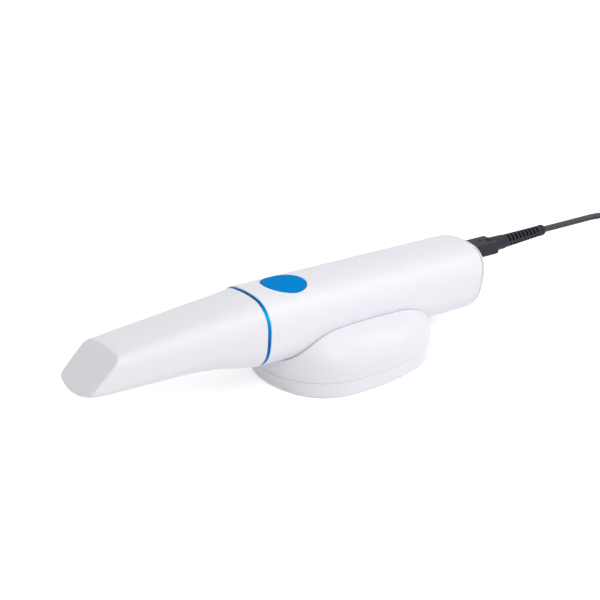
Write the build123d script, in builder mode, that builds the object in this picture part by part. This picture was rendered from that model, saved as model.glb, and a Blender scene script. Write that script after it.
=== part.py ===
from build123d import *
from math import atan2, cos, degrees, pi, radians, sin, sqrt, tan
import os

os.makedirs("parts", exist_ok=True)

# An intraoral scanner lying in its desk cradle. X runs from the tip to the cable, Y to the far side,
# Z up, and the origin is on the desk under the middle of the cradle. Millimetres.

# Fits
running_gap = 0.3
seat_gap = 0.1

# Handle sleeve
handle_width = 40.0
handle_height = 34.9
handle_corner = 13.6
handle_crown = 0.47
handle_flank = 0.13
handle_wall = 2.0
handle_end = 137.1
rear_slant = 7.4
rear_rounding = 1.4

# How the wand lies in the cradle: its own axis runs back from the light ring, nose up
tilt = 4.0
ring_x = -60.0
rest_height = 17.45
ring_height = rest_height + handle_height / 2

# Light ring: where it starts and ends along the wand, and how far it lies inside the sleeve
ring_start = -0.45
ring_end = 0.75
ring_sink = 0.25

# Rear cap
cap_inset = 0.45
cap_proud = 1.6
cap_spigot = 5.0
cap_wall = 2.0
cap_rounding = 0.9

# Tip sleeve: place along the wand of each section, how far its sides, its top and its underside
# lie inside the handle's, its corner radius and how far its underside bulges
tip_base = ring_start - running_gap
tip_insets = [
    (tip_base, 0.65, 0.65, 0.15, 13.2, 0.4),
    (-10.0, 1.25, 1.7, 1.6, 12.6, 0.45),
    (-20.0, 1.95, 2.85, 3.9, 11.1, 0.55),
    (-30.0, 2.6, 4.0, 5.35, 9.8, 0.7),
    (-40.0, 3.3, 5.15, 6.2, 8.6, 0.85),
    (-50.0, 3.95, 6.3, 6.45, 7.4, 1.0),
    (-60.0, 4.65, 7.45, 6.7, 6.2, 1.15),
    (-72.0, 5.45, 8.8, 6.95, 4.9, 1.3),
    (-84.0, 6.25, 10.15, 7.2, 3.9, 1.45),
    (-96.0, 7.05, 11.55, 7.45, 3.4, 1.6),
]
tip_crown = 0.4
tip_flank = 0.1
tip_least_corner = 1.5
tip_wall = 1.7
tip_rounding = 1.2
bevel_top_x = -74.4
bevel_top_inset = 9.07
bevel_bottom_x = -93.4
bevel_bottom_inset = 7.35
bevel_wall = 1.8
window_x = -74.5
window_length = 17.0
window_inset = 10.5
window_corner = 4.0

# Mirror in the tip
mirror_inset = 10.0
mirror_length = 15.0
mirror_corner = 2.5
mirror_thick = 1.0
mirror_lift = 1.5

# Nose that the tip slides over, with its glass
nose_front = -40.0
nose_gap = 0.4
nose_flange = 4.0
glass_side = 2.6
glass_rim = 3.55
glass_thick = 1.2
glass_lip = 1.5
glass_corner = 2.5
bore_side = 5.5
bore_rim = 6.95
bore_corner = 3.0

# Push button
button_x = 22.4
button_radius = 10.7
button_proud = 0.1
button_flange = 1.3
button_flange_thick = 1.1
button_clearance = 1.0
button_travel = 0.6
button_rounding = 0.4
switch_width = 6.0
switch_height = 0.8
switch_stem = 1.7

# Optical bench and what stands on it
bench_start = nose_flange + 1.0
bench_end = handle_end - 11.4
bench_depth = 12.7
bench_thick = 1.8
bench_edge = 0.35
bench_slot = (26.0, 6.0)
bench_slot_spread = 2.0
bench_corner = 3.0
bulkheads = (bench_start + 1.5, 35.0, 57.0)
bulkhead_thick = 3.0
bulkhead_gap = 0.8
bulkhead_side = 1.1
optics_drop = 6.4
optics_y = 6.4
post_radius = 1.6
post_inset = 3.0

# Projector and camera
barrel_radius = 5.4
barrel_length = 22.0
barrel_step = 0.4
barrel_collar = 2.0
light_hole = 3.4
lens_radius = 4.45
lens_thick = 2.4
lens_dome = 0.9
lens_sphere = (lens_radius**2 + lens_dome**2) / (2 * lens_dome)
mask_width = 10.0
mask_thick = 1.0
optics_board = (12.0, 11.0)
sensor_width = 7.0
sensor_thick = 1.2
lamp_depth = 2.2
sink_base = 1.6
sink_fins = 4
sink_fin = 1.1
sink_reach = 8.0

# Circuit boards
board_thick = 1.6
board_edge = 0.8
board_rim = 1.8
board_corner = 2.0
switch_room = 3.8
button_board_x = (button_x - 10.0, button_x + 10.4)
main_board_x = (39.0, bench_end - 2.0)
chip_x = 66.0
chip_width = 15.0
chip_thick = 1.4
spreader_length = 24.0
spreader_width = 18.0
spreader_thick = 1.2
fin_count = 6
fin_thick = 1.0
fin_gap = 1.9
screw_head = 1.5
screw_head_depth = 0.9

# Cable socket, plug, relief and cable
socket_width = 15.0
socket_height = 7.0
socket_length = 13.0
socket_gap = 2.1
socket_back = 2.0
contact_width = 9.0
contact_height = 3.2
contact_corner = 0.9
contact_reach = 11.0
plug_width = 12.2
plug_height = 6.9
plug_corner = 1.4
plug_end = 163.8
plug_rounding = 1.3
plug_stock = 5.0
plug_marks = [(155.5, 1.0, 2.4, 1.2), (159.9, -1.5, 1.4, 1.0)]
plug_mark_depth = 0.4
neck_radius = 3.8
neck_flare = 0.2
neck_root = 4.0
neck_end = 172.0
relief_end = 203.8
relief_lift = 1.7
relief_start_radius = 3.55
relief_end_radius = 2.85
relief_core = 2.1
relief_collar = 2.6
relief_collar_proud = 0.15
relief_rounding = 1.0
rib_start = neck_end + 2.05
rib_count = 9
rib_pitch = 2.82
rib_slot = 1.25
rib_web = 0.6
cable_diameter = 3.4

# Cradle
cradle_front = -47.8
cradle_rear = 46.0
cradle_width = 73.5
cradle_side = 5.75
cradle_crown = 1.6
cradle_flank = 1.2
foot_gap = 0.3
seam_height = 8.0
base_front_inset = 1.9
base_rear_inset = 3.6
base_side_inset = 0.7
shoulder_height = 12.5
dome_height = 29.0
dome_front_inset = 23.0
dome_rear_inset = 20.0
dome_side_inset = 20.5
seam_inset = 0.25
dome_turns = (0, 25, 48, 68, 88)
liner_thick = 0.6
liner_recess = 0.3
cradle_wall = 2.6
pocket_depth = 8.0
cradle_screw_radius = 1.4
cradle_screw_rise = 4.0
cradle_head_radius = 2.7
cradle_head_thick = 1.8
screw_edge = 4.7
boss_radius = 3.4
boss_cover = 1.0
weight_edge = 19.8
weight_thick = 4.2
weight_corner = 3.7
desk_pad_edge = 17.0
desk_pad_thick = 1.2
desk_pad_side = 5.75

# The cable's put-away coil, its routes over the desk and its far plug
coil_x = 230.0
coil_y = -24.0
coil_inner = 12.2
coil_outer = 26.3
coil_layers = 4
coil_rise = 3.45
coil_rounding = 1.5
coil_foot_rounding = 1.0
cable_route = [
    (171.0, 0.0, 29.1),
    (193.0, 0.1, 27.6),
    (207.0, 0.3, 23.0),
    (219.5, 0.5, 16.4),
    (231.0, 0.3, 12.6),
]
tail_route = [
    (231.0, -48.5, 1.8),
    (223.0, -48.6, 2.1),
    (215.5, -48.9, 3.8),
    (208.0, -48.9, 3.8),
]
far_grip_width = 15.0
far_grip_height = 7.6
far_grip_length = 21.0
far_grip_corner = 1.6
far_boot_wall = 1.0
far_boot_length = 7.0
far_rounding = 1.0
far_shell_width = 12.0
far_shell_height = 4.5
far_shell_length = 13.0
far_shell_wall = 0.4
far_shell_floor = 1.5

along = Vector(cos(radians(tilt)), 0, -sin(radians(tilt)))
upward = Vector(sin(radians(tilt)), 0, cos(radians(tilt)))


def at(x, y=0.0, z=0.0):
    # A place given along, across and up the wand
    return Vector(ring_x, y, ring_height) + along * x + upward * z


def cross(x, y=0.0, z=0.0):
    # A plane across the wand, whose own x is +Y
    return Plane(origin=at(x, y, z), x_dir=(0, 1, 0), z_dir=along)


def level(z, x=0.0, y=0.0):
    # A plane along the wand, seen from above
    return Plane(origin=at(x, y, z), x_dir=along, z_dir=upward)


def rear(offset):
    # A plane beside the handle's slanted rear face
    normal = along * cos(radians(rear_slant)) - upward * sin(radians(rear_slant))
    return Plane(origin=at(handle_end + offset), x_dir=(0, 1, 0), z_dir=normal)


def bevel(depth):
    # A plane inside the slanted front face of the tip
    top = at(bevel_top_x, 0, handle_height / 2 - bevel_top_inset)
    bottom = at(bevel_bottom_x, 0, bevel_bottom_inset - handle_height / 2)
    face_normal = (top - bottom).cross(Vector(0, 1, 0)).normalized()
    return Plane(origin=(top + bottom) / 2 - face_normal * depth, x_dir=(0, 1, 0), z_dir=face_normal)


def oval(width, height, corner, crown, flank, keel=None):
    # A soft rectangle of eight tangent arcs: long arcs on its four sides and a corner arc between.
    # Its top bulges by the crown, its sides by the flank and its underside by the keel
    bulges = (crown, crown if keel is None else keel)
    half_width = width / 2
    half_height = height / 2
    corner_x = half_width - flank - corner
    corner_y = half_height - sum(bulges) / 2 - corner
    shift = (bulges[1] - bulges[0]) / 2
    flank_radius = (corner_y**2 + (flank + corner) ** 2 - corner**2) / (2 * flank)
    flank_turn = degrees(atan2(corner_y, flank_radius - flank - corner))
    radii = [(corner_x**2 + (bulge + corner) ** 2 - corner**2) / (2 * bulge) for bulge in bulges]
    turns = [degrees(atan2(corner_x, radius - bulge - corner)) for radius, bulge in zip(radii, bulges)]
    with BuildSketch() as outline:
        with BuildLine():
            for i, turn, side in ((0, 0, 1), (1, 180, -1)):
                bulge_middle = (0, side * (half_height - radii[i]))
                flank_middle = (-side * (half_width - flank_radius), shift)
                first_corner = (-side * corner_x, shift + side * corner_y)
                second_corner = (-side * corner_x, shift - side * corner_y)
                CenterArc(bulge_middle, radii[i], turn + 90 - turns[i], 2 * turns[i])
                CenterArc(first_corner, corner, turn + 90 + turns[i], 90 - turns[i] - flank_turn)
                CenterArc(flank_middle, flank_radius, turn + 180 - flank_turn, 2 * flank_turn)
                CenterArc(second_corner, corner, turn + 180 + flank_turn, 90 - turns[1 - i] - flank_turn)
        make_face()
    return outline.sketch


def rise(width, height, corner, crown, flank, across):
    # How far an oval's edge lies from its middle line at a distance across from its centre
    corner_x = width / 2 - flank - corner
    corner_y = height / 2 - crown - corner
    if across > corner_x:
        return corner_y + sqrt(corner**2 - (across - corner_x) ** 2)
    return height / 2


def inside_top(across):
    # The height of the handle's inner wall above its axis at a distance across
    height = handle_height - 2 * handle_wall
    width = handle_width - 2 * handle_wall
    return rise(width, height, handle_corner - handle_wall, handle_crown, handle_flank, across)


def inside_reach(up):
    # How far the handle's inner wall lies to each side at a height above or below its axis
    height = handle_height - 2 * handle_wall
    width = handle_width - 2 * handle_wall
    return rise(height, width, handle_corner - handle_wall, handle_flank, handle_crown, abs(up))


def handle_section(x, inset=0.0):
    # The handle's outline at a place along the wand, smaller all round by an inset
    width = handle_width - 2 * inset
    height = handle_height - 2 * inset
    outline = oval(width, height, handle_corner - inset, handle_crown, handle_flank)
    return cross(x) * outline


def tip_station(x, side, top, underside, corner, keel):
    # A station of the tip as place, width, top, bottom, corner radius and underside bulge
    width = handle_width - 2 * side
    return (x, width, handle_height / 2 - top, underside - handle_height / 2, corner, keel)


tip_sections = [tip_station(*insets) for insets in tip_insets]


def tip_section(station, inset=0.0):
    # The tip's outline at one of its stations, smaller all round by an inset
    x, width, top, bottom, corner, keel = station
    height = top - bottom - 2 * inset
    rounding = max(corner - inset, tip_least_corner)
    outline = oval(width - 2 * inset, height, rounding, tip_crown, tip_flank, keel)
    return cross(x, 0, (top + bottom) / 2) * outline


def tip_form(inset, stations):
    # The tip's form through some of its stations, smaller all round by an inset
    loft([tip_section(station, inset) for station in stations])


def disc(plane, radius, thick, mode=Mode.ADD):
    with BuildSketch(plane) as outline:
        Circle(radius)
    extrude(outline.sketch, amount=thick, mode=mode)


def end_face(plane):
    # The flat face furthest out along a plane's normal
    axis = Axis(plane.origin, plane.z_dir)
    return faces().filter_by(axis).sort_by(axis)[-1]


def block(plane, length, width, thick, corner=0.0, mode=Mode.ADD):
    with BuildSketch(plane) as outline:
        if corner > 0:
            RectangleRounded(length, width, corner)
        else:
            Rectangle(length, width)
    extrude(outline.sketch, amount=thick, mode=mode)


def finish(piece, label):
    piece.part.label = label
    export_step(piece.part, f"parts/{label}.step")


# Heights of what is inside, stacked down from the handle's inner top, and the widths that fit there
button_base = inside_top(button_radius + button_flange) - button_clearance - button_flange_thick
button_board_z = button_base - switch_room
main_board_z = inside_top(socket_width / 2) - socket_gap - socket_height - board_thick
board_top = main_board_z + board_thick
plug_z = board_top + socket_height / 2
bulkhead_top = main_board_z - bulkhead_gap
bench_top = main_board_z - bench_depth
optics_z = main_board_z - optics_drop
board_width = 2 * (inside_reach(button_board_z + board_thick) - board_edge)
bench_width = 2 * (inside_reach(bench_top - bench_thick) - bench_edge)
bulkhead_width = 2 * (optics_y + barrel_radius + seat_gap + bulkhead_side)
post_y = min(board_width, bench_width) / 2 - board_rim
fin_base = board_top + chip_thick + spreader_thick
fin_height = inside_top(spreader_width / 2) - fin_gap - fin_base

# Handle sleeve, open at both ends, with the button's hole in its top
sleeve_stock = handle_end + handle_height
with BuildPart() as handle_shell:
    extrude(handle_section(ring_end), amount=sleeve_stock)
    extrude(handle_section(ring_end, handle_wall), amount=sleeve_stock, mode=Mode.SUBTRACT)
    split(bisect_by=rear(0), keep=Keep.BOTTOM)
    fillet(end_face(rear(0)).outer_wire().edges(), rear_rounding)
    disc(level(0, button_x), button_radius + running_gap, handle_height, mode=Mode.SUBTRACT)
finish(handle_shell, "handle_shell")

# Rear cap: a plate that stands a little proud of the sleeve, with a hollow spigot inside it
cap_start = handle_end / 2
with BuildPart() as cap_hollow:
    extrude(handle_section(cap_start, handle_wall + seat_gap + cap_wall), amount=handle_end)
    split(bisect_by=rear(cap_proud - cap_wall), keep=Keep.BOTTOM)

with BuildPart() as rear_cap:
    extrude(handle_section(cap_start, cap_inset), amount=handle_end)
    split(bisect_by=rear(cap_proud), keep=Keep.BOTTOM)
    split(bisect_by=rear(seat_gap), keep=Keep.TOP)
    fillet(end_face(rear(0)).outer_wire().edges(), cap_rounding)
    extrude(handle_section(cap_start, handle_wall + seat_gap), amount=handle_end)
    split(bisect_by=rear(cap_proud), keep=Keep.BOTTOM)
    split(bisect_by=rear(-cap_spigot), keep=Keep.TOP)
    add(cap_hollow.part, mode=Mode.SUBTRACT)
    mouth_width = contact_width + 2 * running_gap
    mouth_height = contact_height + 2 * running_gap
    mouth_corner = contact_corner + running_gap
    block(cross(cap_start, 0, plug_z), mouth_width, mouth_height, handle_end, mouth_corner, Mode.SUBTRACT)
finish(rear_cap, "rear_cap")

# Tip sleeve: a hollow taper with a slanted closed end and a window in its underside
with BuildPart() as tip_hollow:
    tip_form(tip_wall, tip_sections)
    split(bisect_by=bevel(bevel_wall), keep=Keep.BOTTOM)

with BuildPart() as tip_shell:
    tip_form(0, tip_sections)
    split(bisect_by=bevel(0), keep=Keep.BOTTOM)
    fillet(end_face(bevel(0)).outer_wire().edges(), tip_rounding)
    add(tip_hollow.part, mode=Mode.SUBTRACT)
    window_width = handle_width - 2 * window_inset
    window_plane = level(bevel_bottom_inset + 2 * tip_wall - handle_height / 2, window_x)
    block(window_plane, window_length, window_width, -handle_height, window_corner, Mode.SUBTRACT)
finish(tip_shell, "tip_shell")

# Mirror bonded inside the slanted end
with BuildPart() as tip_mirror:
    with BuildSketch(bevel(bevel_wall + seat_gap)) as mirror_outline:
        with Locations((0, -mirror_lift)):
            RectangleRounded(handle_width - 2 * mirror_inset, mirror_length, mirror_corner)
    extrude(mirror_outline.sketch, amount=-mirror_thick)
finish(tip_mirror, "tip_mirror")

# Nose that carries the tip: a hollow taper for the light paths, with a flange inside the sleeve
nose_inset = tip_wall + nose_gap
nose_stations = [station for station in tip_sections if station[0] >= nose_front]
flange_front = ring_end + seat_gap
flange_rear = flange_front + nose_flange
front_width, front_top, front_bottom = nose_stations[-1][1:4]
glass_z = (front_top + front_bottom) / 2
glass_width = front_width - 2 * (nose_inset + glass_side)
glass_height = front_top - front_bottom - 2 * (nose_inset + glass_rim)

with BuildPart() as nose:
    tip_form(nose_inset, nose_stations)
    extrude(tip_section(tip_sections[0], nose_inset), amount=flange_front - tip_base)
    extrude(handle_section(flange_front, handle_wall + seat_gap), amount=nose_flange)
    with BuildSketch(cross(flange_rear, 0, optics_z)) as bore_rear:
        RectangleRounded(handle_width - 2 * bore_side, handle_height - 2 * bore_rim, bore_corner)
    with BuildSketch(cross(nose_front, 0, glass_z)) as bore_front:
        RectangleRounded(glass_width - 2 * glass_lip, glass_height - 2 * glass_lip, glass_corner)
    loft([bore_rear.sketch, bore_front.sketch], mode=Mode.SUBTRACT)
    glass_seat = cross(nose_front, 0, glass_z)
    block(glass_seat, glass_width, glass_height, glass_thick, glass_corner, Mode.SUBTRACT)
finish(nose, "nose")

with BuildPart() as nose_glass:
    lens_width = glass_width - 2 * seat_gap
    lens_height = glass_height - 2 * seat_gap
    block(glass_seat, lens_width, lens_height, glass_thick - seat_gap, glass_corner - seat_gap)
finish(nose_glass, "nose_glass")

# Light ring around the foot of the nose
ring_stock = 2 * handle_width
base_size = tip_sections[0][1:]
with BuildPart() as light_ring:
    ring_front = tip_section((ring_start, *base_size))
    loft([ring_front, handle_section(ring_end - seat_gap / 2, ring_sink)])
    ring_hole = tip_section((-handle_width, *base_size), nose_inset - seat_gap)
    extrude(ring_hole, amount=ring_stock, mode=Mode.SUBTRACT)
finish(light_ring, "light_ring")

# Push button: a round cap that follows the sleeve's top, held in by a flange
with BuildPart() as button_cap:
    extrude(handle_section(0, -button_proud), amount=2 * button_x)
    disc(level(button_base, button_x), button_radius, handle_height, mode=Mode.INTERSECT)
    fillet(faces().sort_by(Axis(at(0), upward))[-1].outer_wire().edges(), button_rounding)
    disc(level(button_base, button_x), button_radius + button_flange, button_flange_thick)
finish(button_cap, "button_cap")

# Switch under the button, on its own small board
switch_top = button_base - button_travel - running_gap
switch_base = button_board_z + board_thick
with BuildPart() as button_switch:
    block(level(switch_base, button_x), switch_width, switch_width, switch_height)
    disc(level(switch_base, button_x), switch_stem, switch_top - switch_base)
finish(button_switch, "button_switch")

with BuildPart() as button_board:
    middle = sum(button_board_x) / 2
    length = button_board_x[1] - button_board_x[0]
    block(level(button_board_z, middle), length, board_width, board_thick, board_corner)
finish(button_board, "button_board")

# Optical bench: a slotted plate with three bulkheads for the optics and eight posts for the boards
button_posts = (button_board_x[0] + post_inset, button_board_x[1] - post_inset)
main_posts = (main_board_x[0] + post_inset, main_board_x[1] - post_inset)

with BuildPart() as optical_bench:
    with BuildSketch(level(bench_top, (bench_start + bench_end) / 2)) as plate:
        RectangleRounded(bench_end - bench_start, bench_width, bench_corner)
        with GridLocations((bench_end - bench_start) / 3, bench_width / 2 + bench_slot_spread, 3, 2):
            SlotOverall(*bench_slot, mode=Mode.SUBTRACT)
    extrude(plate.sketch, amount=-bench_thick)
    for x in bulkheads:
        foot = cross(x, 0, (bench_top + bulkhead_top) / 2)
        block(foot, bulkhead_width, bulkhead_top - bench_top, bulkhead_thick)
    for posts, top in ((button_posts, button_board_z), (main_posts, main_board_z)):
        for x in posts:
            for y in (-post_y, post_y):
                disc(level(bench_top, x, y), post_radius, top - bench_top)
    for y in (-optics_y, optics_y):
        for x, radius in zip(bulkheads, (barrel_radius + seat_gap, light_hole, light_hole)):
            disc(cross(x, y, optics_z), radius, bulkhead_thick, Mode.SUBTRACT)
finish(optical_bench, "optical_bench")

# Main board, its image processor with a finned spreader, and the cable socket at its rear
with BuildPart() as main_board:
    middle = sum(main_board_x) / 2
    length = main_board_x[1] - main_board_x[0]
    block(level(main_board_z, middle), length, board_width, board_thick, board_corner)
finish(main_board, "main_board")

with BuildPart() as image_processor:
    block(level(board_top, chip_x), chip_width, chip_width, chip_thick)
finish(image_processor, "image_processor")

with BuildPart() as heat_spreader:
    block(level(board_top + chip_thick, chip_x), spreader_length, spreader_width, spreader_thick)
    for i in range(fin_count):
        y = (i / (fin_count - 1) - 0.5) * (spreader_width - fin_thick)
        block(level(fin_base, chip_x, y), spreader_length, fin_thick, fin_height)
finish(heat_spreader, "heat_spreader")

socket_start = main_board_x[1] - socket_length
with BuildPart() as cable_socket:
    block(cross(socket_start, 0, plug_z), socket_width, socket_height, socket_length)
    cavity = (contact_width + 2 * seat_gap, contact_height + 2 * seat_gap)
    cavity_start = cross(socket_start + socket_back, 0, plug_z)
    block(cavity_start, *cavity, socket_length, contact_corner + seat_gap, Mode.SUBTRACT)
finish(cable_socket, "cable_socket")

# Pattern projector on the far side of the bench and camera on the near side


def lens_barrel(y, name):
    # A stepped tube held in the front bulkhead, with a seat for its lens at the front
    front = cross(bulkheads[0] + seat_gap, y, optics_z)
    with BuildPart() as barrel:
        disc(front, barrel_radius, barrel_length)
        disc(front.offset(bulkhead_thick), barrel_radius + barrel_step, barrel_collar)
        disc(front, lens_radius + seat_gap / 2 - barrel_step, barrel_length, mode=Mode.SUBTRACT)
        disc(front, lens_radius + seat_gap / 2, lens_thick, mode=Mode.SUBTRACT)
    finish(barrel, name)


def barrel_lens(y, name):
    # A plano-convex lens in the barrel's front seat: a disc turned with a domed front
    front = cross(bulkheads[0] + 2 * seat_gap, y, optics_z)
    flat = lens_thick - 2 * seat_gap
    profile_plane = Plane(origin=front.origin, x_dir=upward, z_dir=(0, 1, 0))
    with BuildPart() as lens:
        with BuildSketch(profile_plane) as half_profile:
            with BuildLine():
                Line((0, flat), (lens_radius, flat))
                Line((lens_radius, flat), (lens_radius, lens_dome))
                RadiusArc((lens_radius, lens_dome), (0, 0), lens_sphere)
                Line((0, 0), (0, flat))
            make_face()
        revolve(half_profile.sketch, axis=Axis(front.origin, along))
    finish(lens, name)


lens_barrel(optics_y, "projector_barrel")
barrel_lens(optics_y, "projector_lens")
lens_barrel(-optics_y, "camera_barrel")
barrel_lens(-optics_y, "camera_lens")

with BuildPart() as pattern_mask:
    mask_plane = cross(bulkheads[1] - mask_thick, optics_y, optics_z)
    block(mask_plane, mask_width, mask_width, mask_thick)
finish(pattern_mask, "pattern_mask")

with BuildPart() as camera_board:
    block(cross(bulkheads[1] - board_thick, -optics_y, optics_z), *optics_board, board_thick)
finish(camera_board, "camera_board")

with BuildPart() as camera_sensor:
    sensor_plane = cross(bulkheads[1] - board_thick - sensor_thick, -optics_y, optics_z)
    block(sensor_plane, sensor_width, sensor_width, sensor_thick)
finish(camera_sensor, "camera_sensor")

led_x = bulkheads[2] + bulkhead_thick
with BuildPart() as led_board:
    block(cross(led_x, optics_y, optics_z), *optics_board, board_thick)
finish(led_board, "led_board")

with BuildPart() as led_lamp:
    disc(cross(led_x - lamp_depth, optics_y, optics_z), light_hole - 2 * running_gap, lamp_depth)
finish(led_lamp, "led_lamp")

with BuildPart() as lamp_heatsink:
    sink_x = led_x + board_thick
    sink_pitch = (optics_board[0] - sink_fin) / (sink_fins - 1)
    block(cross(sink_x, optics_y, optics_z), *optics_board, sink_base)
    for i in range(sink_fins):
        y = optics_y + (i - (sink_fins - 1) / 2) * sink_pitch
        block(cross(sink_x + sink_base, y, optics_z), sink_fin, optics_board[1], sink_reach)
finish(lamp_heatsink, "lamp_heatsink")

# Cable plug: contact shell, moulded body with a round neck, and the slotted strain relief


def lead(x, up=0.0):
    # A plane across the strain relief, which the cable's stiffness lifts a little from the plug's line
    turn = radians(relief_lift)
    lead_along = along * cos(turn) + upward * sin(turn)
    lead_up = upward * cos(turn) - along * sin(turn)
    origin = at(neck_end, 0, plug_z) + lead_along * (x - neck_end) + lead_up * up
    return Plane(origin=origin, x_dir=(0, 1, 0), z_dir=lead_along)


with BuildPart() as plug_contact:
    contact_start = main_board_x[1] - contact_reach + seat_gap
    contact_length = handle_end + cap_proud - contact_start
    contact_front = cross(contact_start, 0, plug_z)
    block(contact_front, contact_width, contact_height, contact_length, contact_corner)
finish(plug_contact, "plug_contact")

with BuildPart() as plug_body:
    plug_start = handle_end - plug_stock
    block(cross(plug_start, 0, plug_z), plug_width, plug_height, plug_end - plug_start, plug_corner)
    fillet(end_face(cross(plug_end)).edges(), plug_rounding)
    split(bisect_by=rear(cap_proud + seat_gap), keep=Keep.TOP)
    with BuildSketch(cross(plug_end - neck_root, 0, plug_z)) as neck_front:
        Circle(neck_radius + neck_flare)
    with BuildSketch(lead(neck_end)) as neck_rear:
        Circle(neck_radius)
    loft([neck_front.sketch, neck_rear.sketch])
    for x, y, length, width in plug_marks:
        mark = level(plug_z + plug_height / 2 - plug_mark_depth, x, y)
        block(mark, length, width, plug_height, mode=Mode.SUBTRACT)
finish(plug_body, "plug_body")

with BuildPart() as strain_relief:
    with BuildSketch(lead(neck_end)) as relief_front:
        Circle(relief_start_radius)
    with BuildSketch(lead(relief_end - relief_collar)) as relief_rear:
        Circle(relief_end_radius)
    loft([relief_front.sketch, relief_rear.sketch])
    collar_radius = relief_end_radius + relief_collar_proud
    disc(lead(relief_end - relief_collar), collar_radius, relief_collar)
    fillet(end_face(lead(relief_end)).outer_wire().edges(), relief_rounding)
    for i in range(rib_count):
        x = rib_start + i * rib_pitch
        for side in (-1, 1):
            shift = 0 if side > 0 else rib_pitch / 2
            slot_plane = lead(x + shift, side * (rib_web + relief_start_radius))
            block(slot_plane, 3 * relief_start_radius, 2 * relief_start_radius, rib_slot, mode=Mode.SUBTRACT)
    disc(lead(neck_end), relief_core, relief_end - neck_end - relief_collar)
finish(strain_relief, "strain_relief")

# Cradle: a soft pebble in two halves, hollowed for the wand, its liner and a weight


cradle_corner = cradle_width / 2 - cradle_side
cradle_length = cradle_rear - cradle_front


def cradle_outline(plane, front_inset, rear_inset, side_inset):
    # The pebble's outline on a plane, drawn in by an inset at its front, its rear and its sides
    front = cradle_front + front_inset
    back = cradle_rear - rear_inset
    corner = cradle_corner - max(front_inset, rear_inset, side_inset)
    outline = oval(back - front, cradle_width - 2 * side_inset, corner, cradle_crown, cradle_flank)
    return plane * Pos((front + back) / 2, 0) * outline


def desk(height, lean=0.0):
    # A plane over the desk, which can lean as the wand does
    turn = radians(lean)
    return Plane(origin=(0, 0, height), x_dir=(cos(turn), 0, -sin(turn)), z_dir=(sin(turn), 0, cos(turn)))


def pebble(shrink):
    # The upper half: a wall up from the seam, then an elliptical shoulder that leans with the wand
    outlines = [cradle_outline(desk(seam_height), *[seam_inset + shrink] * 3)]
    for turn in dome_turns:
        up = sin(radians(turn))
        inward = 1 - cos(radians(turn))
        insets = [shrink + inward * inset for inset in (dome_front_inset, dome_rear_inset, dome_side_inset)]
        height = shoulder_height + (dome_height - shoulder_height - shrink) * up
        outlines.append(cradle_outline(desk(height, tilt * up), *insets))
    loft(outlines)


def wand_bar(offset, mode=Mode.ADD):
    # A straight bar of the handle's section, larger all round by an offset
    extrude(handle_section(-handle_end, -offset), amount=3 * handle_end, mode=mode)


def four_discs(spots, height, radius, thick, mode=Mode.ADD):
    with BuildSketch(desk(height)) as outline:
        with GridLocations(*spots, 2, 2):
            Circle(radius)
    extrude(outline.sketch, amount=thick, mode=mode)


screw_reach = (cradle_corner - screw_edge) / sqrt(2)
screw_x = cradle_length / 2 - cradle_flank - cradle_corner + screw_reach
screw_y = cradle_side - cradle_crown + screw_reach
screw_spots = (2 * screw_x, 2 * screw_y)
with BuildPart() as cradle_pocket:
    extrude(cradle_outline(desk(seam_height), *[cradle_wall] * 3), amount=pocket_depth)
    wand_bar(liner_thick + cradle_wall, Mode.SUBTRACT)
    four_discs(screw_spots, seam_height, boss_radius, pocket_depth, Mode.SUBTRACT)

with BuildPart() as cradle_body:
    pebble(0)
    wand_bar(liner_thick + seat_gap, Mode.SUBTRACT)
    add(cradle_pocket.part, mode=Mode.SUBTRACT)
    screw_hole = pocket_depth - boss_cover
    four_discs(screw_spots, seam_height, cradle_screw_radius, screw_hole, Mode.SUBTRACT)
finish(cradle_body, "cradle_body")

with BuildPart() as liner_stock:
    wand_bar(liner_thick + seat_gap / 2)
    wand_bar(seat_gap / 2, Mode.SUBTRACT)

with BuildPart() as cradle_liner:
    pebble(liner_recess)
    add(liner_stock.part, mode=Mode.INTERSECT)
finish(cradle_liner, "cradle_liner")

weight_length = cradle_length - 2 * weight_edge
weight_width = cradle_width - 2 * weight_edge
weight_height = seam_height - running_gap - weight_thick
desk_pad_length = cradle_length - 2 * desk_pad_edge
desk_pad_width = cradle_width - 2 * desk_pad_edge
desk_pad_corner = desk_pad_width / 2 - desk_pad_side
with BuildPart() as cradle_base:
    lower = cradle_outline(desk(foot_gap), base_front_inset, base_rear_inset, base_side_inset)
    upper = cradle_outline(desk(seam_height - seat_gap), *[seam_inset] * 3)
    loft([lower, upper])
    pocket = (weight_length + 2 * running_gap, weight_width + 2 * running_gap)
    pocket_corner = weight_corner + running_gap
    block(desk(weight_height - seat_gap), *pocket, seam_height, pocket_corner, Mode.SUBTRACT)
    pad_recess = (desk_pad_length + 2 * seat_gap, desk_pad_width + 2 * seat_gap)
    block(desk(0), *pad_recess, desk_pad_thick + seat_gap / 2, desk_pad_corner, Mode.SUBTRACT)
    four_discs(screw_spots, 0, cradle_screw_radius + running_gap, seam_height, Mode.SUBTRACT)
    head_room = foot_gap + cradle_head_thick
    four_discs(screw_spots, 0, cradle_head_radius + running_gap, head_room, Mode.SUBTRACT)
finish(cradle_base, "cradle_base")

with BuildPart() as cradle_weight:
    block(desk(weight_height), weight_length, weight_width, weight_thick, weight_corner)
finish(cradle_weight, "cradle_weight")

with BuildPart() as desk_pad:
    block(desk(0), desk_pad_length, desk_pad_width, desk_pad_thick, desk_pad_corner)
finish(desk_pad, "desk_pad")

with BuildPart() as cradle_screws:
    screw_start = foot_gap + seat_gap
    screw_length = seam_height + cradle_screw_rise
    four_discs(screw_spots, screw_start, cradle_head_radius, cradle_head_thick - seat_gap)
    four_discs(screw_spots, screw_start, cradle_screw_radius - seat_gap, screw_length)
finish(cradle_screws, "cradle_screws")

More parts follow.
